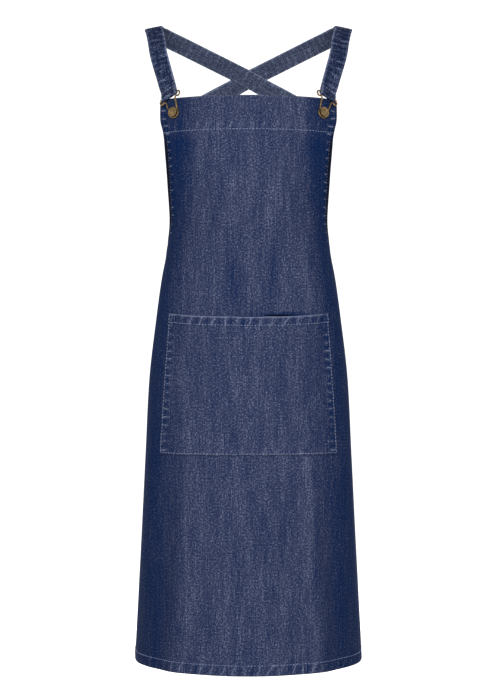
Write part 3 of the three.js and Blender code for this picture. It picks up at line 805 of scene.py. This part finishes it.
# Buttons
# Jeans buttons of antiqued brass on the bib's top corners, each on a collar, with the tack that
# holds it pressed in from behind.
BUTTON_ACROSS = 125.5 * MM
BUTTON_DROP = 26 * MM
HEAD_RADIUS = 8.6 * MM
HEAD_THICKNESS = 2.6 * MM
COLLAR_RADIUS = 4.9 * MM
TACK_RADIUS = 5 * MM
TACK_THICKNESS = 1.2 * MM
STRAP_LEAN = math.radians(27)
WIRE = 2.8 * MM
RING_PLAY = 1.2 * MM
RING_LOOSE = 0.6 * MM
STRAP_THICKNESS = 2.4 * MM
RING_HEIGHT = WIRE / 2 + 2 * GAP
HEAD_HEIGHT = RING_HEIGHT + WIRE + GAP + RING_LOOSE

button_at = face_point(-BUTTON_ACROSS, BUTTON_DROP)
button_out = face_normal(-BUTTON_ACROSS, BUTTON_DROP)
level_way = Vector((-button_out.y, button_out.x, 0)).normalized()
button_up = button_out.cross(level_way) * math.cos(STRAP_LEAN) - level_way * math.sin(STRAP_LEAN)
button_right = button_up.cross(button_out)


def from_button(across, up, off, side=-1):
    """A place given from the left button's foot, or its mirror image on the right for side 1."""
    place = button_at + button_right * across + button_up * up + button_out * off
    return Vector((-side * place.x, place.y, place.z))


def brass(name, bright, dull):
    """Antiqued brass: dull brown patina over a brighter metal that shows in soft patches."""
    material, tree, shader = new_material(name)
    place = Socket(tree).node("ShaderNodeTexCoord", output="Object")
    cloud = place.node("ShaderNodeTexNoise", Vector=place, Scale=260.0, Detail=4.0, Roughness=0.6)
    fine = place.node("ShaderNodeTexNoise", Vector=place, Scale=1500.0, Detail=2.0)
    tree.links.new(cloud.ramp(0.34, 0.7).mix(dull, bright).socket, shader.inputs["Base Color"])
    tree.links.new((0.34 + cloud * 0.2).socket, shader.inputs["Roughness"])
    shader.inputs["Metallic"].default_value = 0.9
    bump = place.node("ShaderNodeBump", Height=cloud + fine * 0.4, Strength=0.1, Distance=0.0002)
    tree.links.new(bump.socket, shader.inputs["Normal"])
    return material


BRASS = brass("brass", srgb(136, 114, 78), srgb(88, 72, 48))


def turned(name, profile, side, material, sides=48):
    """A turned piece on the button's axis, drawn up ring by ring from a filled circle."""
    bpy.ops.object.select_all(action="DESELECT")
    radius, height = profile[0]
    bpy.ops.mesh.primitive_circle_add(
        vertices=sides, radius=radius, fill_type="NGON", location=(0, 0, height)
    )
    piece = bpy.context.object
    piece.name = piece.data.name = name
    bpy.ops.object.transform_apply(location=True)
    bpy.ops.object.mode_set(mode="EDIT")
    bpy.ops.mesh.select_all(action="SELECT")
    for wider, higher in profile[1:]:
        wider_by = wider / radius
        bpy.ops.mesh.extrude_region_move(TRANSFORM_OT_translate={"value": (0, 0, higher - height)})
        bpy.ops.transform.resize(value=(wider_by, wider_by, 1), center_override=(0, 0, 0))
        radius, height = wider, higher
    bpy.ops.mesh.select_all(action="SELECT")
    bpy.ops.mesh.normals_make_consistent(inside=False)
    bpy.ops.object.mode_set(mode="OBJECT")
    for vertex in piece.data.vertices:
        vertex.co = from_button(*vertex.co, side)
    face_outwards(piece)
    bpy.ops.object.shade_smooth_by_angle(angle=math.radians(38))
    piece.data.materials.append(material)
    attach(piece, "root")
    return piece


button_top = HEAD_HEIGHT + HEAD_THICKNESS
# Radius and height, from the collar's foot up and over the head to the middle of its face.
BUTTON_PROFILE = [
    (COLLAR_RADIUS * 1.12, 0.0002),
    (COLLAR_RADIUS * 1.12, 0.0007),
    (COLLAR_RADIUS * 0.9, 0.0009),
    (COLLAR_RADIUS * 0.9, HEAD_HEIGHT),
    (HEAD_RADIUS * 0.93, HEAD_HEIGHT),
    (HEAD_RADIUS * 0.985, HEAD_HEIGHT + HEAD_THICKNESS * 0.22),
    (HEAD_RADIUS, HEAD_HEIGHT + HEAD_THICKNESS * 0.5),
    (HEAD_RADIUS * 0.985, HEAD_HEIGHT + HEAD_THICKNESS * 0.78),
    (HEAD_RADIUS * 0.94, button_top - 0.0001),
    (HEAD_RADIUS * 0.88, button_top),
    (HEAD_RADIUS * 0.82, button_top - 0.0001),
    (HEAD_RADIUS * 0.78, button_top - 0.00025),
    (HEAD_RADIUS * 0.72, button_top - 0.0003),
    (HEAD_RADIUS * 0.68, button_top - 0.00015),
    (HEAD_RADIUS * 0.62, button_top - 0.0003),
    (HEAD_RADIUS * 0.58, button_top - 0.0006),
    (HEAD_RADIUS * 0.3, button_top - 0.0004),
    (HEAD_RADIUS * 0.26, button_top - 0.0001),
    (HEAD_RADIUS * 0.14, button_top),
]
TACK_STEM = 1.1 * MM
plate = -2 * (CLOTH + GAP)
TACK_PROFILE = [
    (TACK_RADIUS * 0.5, plate - TACK_THICKNESS),
    (TACK_RADIUS * 0.86, plate - TACK_THICKNESS * 0.92),
    (TACK_RADIUS * 0.98, plate - TACK_THICKNESS * 0.6),
    (TACK_RADIUS, plate - TACK_THICKNESS * 0.25),
    (TACK_RADIUS * 0.96, plate),
    (TACK_STEM, plate),
    (TACK_STEM, 0.0001),
]
for side, word in ((-1, "left"), (1, "right")):
    button = turned(f"brass_button_{word}", BUTTON_PROFILE, side, BRASS)
    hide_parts(f"button_{word}")
    tack = turned(f"brass_tack_{word}", TACK_PROFILE, side, BRASS, 32)
    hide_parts(f"tack_{word}")

# Clips
# Dungaree clips bent from one length of round wire: a straight bar in the strap's loop, a round
# ear at each end of it, and a ring that hooks under the button's head.
STRAP_WIDTH = 29 * MM
EAR_RADIUS = 4.4 * MM
BAR_PLAY = 0.8 * MM
NECK_HALF = 8.8 * MM
BAR_RISE = 33.5 * MM
BAR_SPLIT = 0.5 * MM
BAR_HEIGHT = 2 * GAP + STRAP_THICKNESS + WIRE / 2 + 0.4 * MM
CLIP_STEPS = 260


def centripetal(points, t):
    """The smooth curve through points that the source's straps and wires follow, t from 0 to 1."""
    k = min(int(t * (len(points) - 1)), len(points) - 2)
    w = t * (len(points) - 1) - k
    p1, p2 = points[k], points[k + 1]
    p0 = points[k - 1] if k else p1 * 2 - p2
    p3 = points[k + 2] if k + 2 < len(points) else p2 * 2 - p1
    d0, d1, d2 = (max((b - a).length ** 0.5, 1e-6) for a, b in ((p0, p1), (p1, p2), (p2, p3)))
    m1 = ((p1 - p0) / d0 - (p2 - p0) / (d0 + d1) + (p2 - p1) / d1) * d1
    m2 = ((p2 - p1) / d1 - (p3 - p1) / (d1 + d2) + (p3 - p2) / d2) * d1
    w2, w3 = w * w, w * w * w
    ends = p1 * (2 * w3 - 3 * w2 + 1) + m1 * (w3 - 2 * w2 + w)
    return ends + p2 * (3 * w2 - 2 * w3) + m2 * (w3 - w2)


def clip_route():
    """Points along the wire from the bar's split, round one ear, the ring and the other ear."""
    bar_half = STRAP_WIDTH / 2 + GAP + BAR_PLAY
    ring = COLLAR_RADIUS + GAP + WIRE / 2 + RING_PLAY
    ear_up = BAR_RISE - EAR_RADIUS
    foot = ear_up - EAR_RADIUS
    half = [(BAR_SPLIT / 2, BAR_RISE)] + [(bar_half * share, BAR_RISE) for share in (0.35, 0.7)]
    for turn in spaced(90, -90, 6):
        turn = math.radians(turn)
        half.append((bar_half + EAR_RADIUS * math.cos(turn), ear_up + EAR_RADIUS * math.sin(turn)))
    half.append(((bar_half + NECK_HALF) / 2, foot + EAR_RADIUS * 0.4))
    half.append((NECK_HALF + 0.4 * MM, foot - WIRE * 0.4))
    half.append((NECK_HALF, foot * 0.66))
    for turn in spaced(28, -90, 5):
        turn = math.radians(turn)
        half.append((ring * math.cos(turn), ring * math.sin(turn)))
    line = half + [(-across, up) for across, up in reversed(half[:-1])]

    def height(up):
        risen = (up - COLLAR_RADIUS) / (foot - COLLAR_RADIUS)
        return lerp(RING_HEIGHT, BAR_HEIGHT, min(max(risen, 0), 1))

    return [(across, up, height(up)) for across, up in line]


for side, word in ((-1, "left"), (1, "right")):
    knots = [from_button(*knot, side) for knot in clip_route()]
    curve = bpy.data.curves.new(f"brass_clip_{word}", "CURVE")
    curve.dimensions = "3D"
    curve.bevel_depth = WIRE / 2
    curve.bevel_resolution = 3
    curve.use_fill_caps = True
    spline = curve.splines.new("POLY")
    spline.points.add(CLIP_STEPS)
    for k in range(CLIP_STEPS + 1):
        spline.points[k].co = (*centripetal(knots, k / CLIP_STEPS), 1)
    pick(put_in(f"brass_clip_{word}", curve))
    bpy.ops.object.convert(target="MESH")
    wire = bpy.context.object
    face_outwards(wire)
    bpy.ops.object.shade_smooth_by_angle(angle=math.radians(50))
    wire.data.materials.append(BRASS)
    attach(wire, "root")
    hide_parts(f"clip_{word}")

# Straps
# Denim folded in on itself and topstitched near both edges. Each strap turns round its clip's
# bar, goes over the shoulder, crosses the other behind and ends on the far back corner.
STRAP_TAB = 20 * MM
STRAP_LAP = 36 * MM
LAP_SLANT = 14 * MM
SHOULDER_HALF = 156 * MM
BACK_DEPTH = 240 * MM
CROSS_DROP = 71 * MM
CROSS_GAP = 2.4 * MM
LEAD_FACE = (-0.4, -0.86, 0.32)
# Shares of the shoulders' half breadth, of the way back to the crossing and of the drop to it, and
# the way that the strap's outer side looks there.
OVER_SHOULDER = [
    (0.929, -0.6, 0.72, (-0.26, -0.88, 0.4)),
    (0.953, -0.444, 0.42, (-0.16, -0.86, 0.48)),
    (0.977, -0.267, 0.175, (-0.16, -0.62, 0.76)),
    (1.0, -0.044, 0.0, (-0.2, -0.02, 0.98)),
    (0.968, 0.156, 0.059, (-0.33, 0.42, 0.84)),
    (0.878, 0.356, 0.15, (-0.52, 0.68, 0.52)),
    (0.691, 0.6, 0.31, (-0.46, 0.84, 0.3)),
    (0.415, 0.822, 0.574, (-0.3, 0.93, 0.22)),
    (0.179, 0.96, 0.808, (-0.14, 0.98, 0.16)),
    (0.0, 1.0, 1.0, (0.0, 0.99, 0.1)),
    (-0.179, 0.978, 1.225, (0.14, 0.98, 0.14)),
    (-0.417, 0.867, 1.52, (0.3, 0.93, 0.2)),
]
# Shares of the way down to the lap, of the bow outwards and of the sink forwards, and the same.
DOWN_RIBS = [
    (0.07, 0.15, 0.027, (0.38, 0.87, 0.3)),
    (0.186, 0.236, 0.06, (0.56, 0.74, 0.36)),
    (0.354, 0.24, 0.076, (0.68, 0.68, 0.26)),
    (0.557, 0.182, 0.07, (0.7, 0.7, 0.12)),
    (0.782, 0.09, 0.041, (0.68, 0.73, 0.04)),
    (0.93, 0.037, 0.014, (0.66, 0.75, 0.02)),
]
STRAP_COLOURS = srgb(6, 20, 52), srgb(46, 56, 86), srgb(116, 126, 156)
STRAP_DENIM = denim("strap_denim", *STRAP_COLOURS, 11 * MM, tick_wander=4.0, smudged=0.5)


TAB_CLOSES = 0.6
TAB_LEAN = 0.35
LEAD_RISE = 1.3
LAP_PLACES = -0.6, 0.1, 0.55, 1
STRAP_SAMPLES = 2400
STRAP_STEPS = 330
STRAP_COLUMNS = 14
TAB_SEAM = 24
EDGE_SEAM = 3 * MM
EDGE_ROUND = 1.0 * MM
SEAM_DIP = 0.3 * MM
STRAP_PUCKER = 0.2 * MM
STRAP_WAVES_EVERY = 5.2 * MM
STRAP_PUCKERS_EVERY = 3.4 * MM
LAP_SEAM = 0.78


def strap_line(layer):
    """Points down the middle of a left strap, each with the way that its outer side looks."""
    bend = WIRE / 2 + GAP + STRAP_THICKNESS / 2

    def at(up, off, tilt):
        face = button_out * math.cos(tilt) + button_up * math.sin(tilt)
        return from_button(0, BAR_RISE + up, BAR_HEIGHT + off), face

    line = [at(up, -bend, math.pi) for up in spaced(STRAP_TAB, 0, 6)]
    for turn in spaced(math.pi, 0, 12)[1:]:
        line.append(at(-bend * math.sin(turn), bend * math.cos(turn), -turn))
    closing = STRAP_TAB * TAB_CLOSES
    for t in spaced(0, 1, 6)[1:]:
        line.append(at(closing * t, bend * (1 - ease(t)), TAB_LEAN * math.sin(math.pi * t)))
    lead = from_button(0, BAR_RISE + STRAP_TAB * LEAD_RISE, BAR_HEIGHT)
    places = [line[-1], (lead, Vector(LEAD_FACE))]
    back = BACK_DEPTH - FRONT
    for across, behind, drop, face in OVER_SHOULDER:
        y = behind * back + layer * ease(behind)
        z = STRAP_THICKNESS / 2 - drop * CROSS_DROP
        places.append((Vector((-across * SHOULDER_HALF, y, z)), Vector(face)))
    start = places[-1][0]
    lift = 2 * GAP + STRAP_THICKNESS / 2
    lap_end = cut_half(CORNER_DROP + STRAP_LAP) - STRAP_WIDTH / 2 - 1.5 * MM
    sewn = []
    for share in LAP_PLACES:
        drop, across = CORNER_DROP + share * STRAP_LAP, lap_end - LAP_SLANT * (1 - share)
        out = face_normal(across, drop)
        sewn.append((face_point(across, drop) + out * lift, out))
    for fall, bow, sink, face in DOWN_RIBS:
        pull = Vector((bow * SHOULDER_HALF, -sink * BACK_DEPTH, 0))
        places.append((start.lerp(sewn[0][0], fall) + pull, Vector(face)))
    places += sewn
    knots = [place for place, _ in places]
    fine = [centripetal(knots, k / STRAP_SAMPLES) for k in range(STRAP_SAMPLES + 1)]
    lengths = [0.0]
    for a, b in zip(fine, fine[1:]):
        lengths.append(lengths[-1] + (b - a).length)
    k = 0
    for n in range(1, STRAP_STEPS + 1):
        reach = lengths[-1] * n / STRAP_STEPS
        while k < STRAP_SAMPLES - 1 and lengths[k + 1] < reach:
            k += 1
        t = (k + (reach - lengths[k]) / (lengths[k + 1] - lengths[k])) / STRAP_SAMPLES
        place = t * (len(places) - 1)
        i = min(int(place), len(places) - 2)
        face = places[i][1].lerp(places[i + 1][1], ease(place - i))
        line.append((centripetal(knots, t), face))
    return line


def strap_spot(sides, runs, reach, share):
    """A place on the strap's outer face at a length along it and a share of its half width."""
    n = max(k for k in range(len(runs) - 1) if runs[k] <= reach)
    t = (reach - runs[n]) / (runs[n + 1] - runs[n])
    place, way, out = (a.lerp(b, t) for a, b in zip(sides[n], sides[n + 1]))
    return place + way * (share * STRAP_WIDTH / 2) + out * (STRAP_THICKNESS / 2), out


def mirrored(vector):
    """A place or a way on the left strap, turned into the right strap's."""
    return Vector((-vector.x, vector.y, vector.z))


for side, word in ((-1, "left"), (1, "right")):
    layer = side * (STRAP_THICKNESS + CROSS_GAP) / 2
    line = strap_line(layer)
    outer, inner, uv, marks, runs, sides = [], [], [], [], [], []
    edge_seams = [[], []]
    run = 0.0
    for n, (place, face) in enumerate(line):
        before, after = line[max(n - 1, 0)][0], line[min(n + 1, len(line) - 1)][0]
        along = (after - before).normalized()
        across_way = face.cross(along).normalized()
        out = along.cross(across_way)
        run += (place - line[n - 1][0]).length if n else 0.0
        runs.append(run)
        sides.append((place, across_way, out))
        for i in range(STRAP_COLUMNS + 1):
            share = math.sin((2 * i / STRAP_COLUMNS - 1) * math.pi / 2)
            across = share * STRAP_WIDTH / 2
            from_side = STRAP_WIDTH / 2 - abs(across)
            wave = noise_1d(run / STRAP_WAVES_EVERY + 0.4 * share, f"strap{word}")
            edge = "a" if share < 0 else "b"
            ripple = noise_1d(run / STRAP_PUCKERS_EVERY, f"strap{word}{edge}")
            rounded = 1 - 0.62 * hump(from_side, 0, EDGE_ROUND)
            seam_dip = SEAM_DIP * hump(from_side, EDGE_SEAM, 1.1 * MM)
            near_seam = hump(from_side, 4.5 * MM, 3.5 * MM)
            lift = STRAP_THICKNESS / 2 * rounded - seam_dip
            lift += STRAP_PUCKER * (wave * 0.6 + ripple * near_seam)
            back = -STRAP_THICKNESS / 2 * rounded + seam_dip
            here = place + across_way * across
            outer.append(here + out * lift)
            inner.append(here + out * back)
            uv.append((across + side, run))
            # Lighter where the strap's waves lift, as worn dye, and lighter still along its edges,
            # one more than the other, partly worn and partly a painted highlight where the edge
            # turns. Puckers with painted highlights and painted shade show all over the strap.
            fade = 0.06 * wave + 0.08 * ripple * near_seam - 0.1
            fade += (0.9 if share < 0 else 0.5) * hump(from_side, 0.8 * MM, 1.1 * MM)
            marks.append((fade, 0.35, 0.0, 0.25))
        for seam, way in zip(edge_seams, (-1, 1)):
            middle = place + across_way * way * (STRAP_WIDTH / 2 - EDGE_SEAM)
            seam.append((middle + out * (STRAP_THICKNESS / 2 - SEAM_DIP), out))
    tab_shares = (-0.92, -0.4, 0.1, 0.5, 0.92)
    end_seams = [[strap_spot(sides, runs, runs[TAB_SEAM], share) for share in tab_shares]]
    foot, head = run - 3 * MM, run - STRAP_LAP + 2 * MM
    for from_run, from_share, to_run, to_share in (
        (head, -LAP_SEAM, head, LAP_SEAM),
        (foot, -LAP_SEAM, foot, LAP_SEAM),
        (head, -LAP_SEAM, foot, LAP_SEAM),
        (head, LAP_SEAM, foot, -LAP_SEAM),
    ):
        seam = []
        for t in spaced(0, 1, 12):
            reach, share = lerp(from_run, to_run, t), lerp(from_share, to_share, t)
            seam.append(strap_spot(sides, runs, reach, share))
        end_seams.append(seam)
    if side > 0:
        outer, inner = ([mirrored(place) for place in wall] for wall in (outer, inner))
        edge_seams, end_seams = (
            [[(mirrored(place), mirrored(out)) for place, out in seam] for seam in seams]
            for seams in (edge_seams, end_seams)
        )
    rows = len(line) - 1
    name = f"denim_strap_{word}"
    strap = closed_wall(name, STRAP_COLUMNS, rows, outer, inner, uv, marks, STRAP_DENIM)
    face_outwards(strap)
    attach(strap, "root")
    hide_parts(f"strap_{word}")
    stitches(f"strap_thread_{word}", edge_seams, TONAL_THREAD)
    stitches(f"strap_end_thread_{word}", end_seams)

# Floor and light
# A plain white studio sweep that the camera alone sees. Soft light falls on the apron from two
# sides in front, and from behind.
SWEEP_RADIUS = 9.0
SWEEP_CORNER = 2.5
SWEEP_HEIGHT = 12.0
FLOOR_LEVEL = -1.42
profile = [(0.0, FLOOR_LEVEL), (SWEEP_RADIUS - SWEEP_CORNER, FLOOR_LEVEL)]
for turn in spaced(-90, 0, 12)[1:]:
    turn = math.radians(turn)
    reach = SWEEP_RADIUS - SWEEP_CORNER * (1 - math.cos(turn))
    profile.append((reach, FLOOR_LEVEL + SWEEP_CORNER * (1 + math.sin(turn))))
profile.append((SWEEP_RADIUS, SWEEP_HEIGHT))
sweep_mesh = bpy.data.meshes.new("floor")
line = [(k, k + 1) for k in range(len(profile) - 1)]
sweep_mesh.from_pydata([(reach, 0, height) for reach, height in profile], line, [])
floor = put_in("floor", sweep_mesh)
pick(floor)
bpy.ops.object.mode_set(mode="EDIT")
bpy.ops.mesh.select_all(action="SELECT")
bpy.ops.mesh.spin(steps=96, angle=2 * math.pi, center=(0, 0, 0), axis=(0, 0, 1))
bpy.ops.mesh.select_all(action="SELECT")
bpy.ops.mesh.remove_doubles(threshold=0.0001)
bpy.ops.object.mode_set(mode="OBJECT")
bpy.ops.object.shade_smooth()
paint, _, shader = new_material("floor")
shader.inputs["Base Color"].default_value = (0.8, 0.8, 0.8, 1)
shader.inputs["Roughness"].default_value = 0.9
shader.inputs["Emission Color"].default_value = (1, 1, 1, 1)
shader.inputs["Emission Strength"].default_value = 0.95
floor.data.materials.append(paint)
floor.visible_diffuse = False
floor.visible_shadow = False

world = bpy.data.worlds.new("studio")
bpy.context.scene.world = world
world.use_nodes = True
background = world.node_tree.nodes["Background"]
background.inputs["Color"].default_value = (1, 1, 1, 1)
background.inputs["Strength"].default_value = 0.3


def softbox(name, place, aim, width, height, power):
    """A rectangular lamp that faces a point."""
    light = bpy.data.lights.new(name, "AREA")
    light.shape = "RECTANGLE"
    light.size, light.size_y = width, height
    light.energy = power
    lamp = put_in(name, light)
    lamp.location = place
    lamp.rotation_euler = (Vector(aim) - Vector(place)).to_track_quat("-Z", "Y").to_euler()


FRONT_MIDDLE = (0, -0.1, -0.55)
BACK_MIDDLE = (0, 0.1, -0.5)
softbox("key", (-0.7, -3.6, 0.5), FRONT_MIDDLE, width=1.4, height=2.0, power=54)
softbox("fill", (0.8, -3.6, 0.2), FRONT_MIDDLE, width=1.4, height=2.0, power=44)
softbox("back", (0.3, 3.6, 0.6), BACK_MIDDLE, width=2.0, height=2.0, power=60)
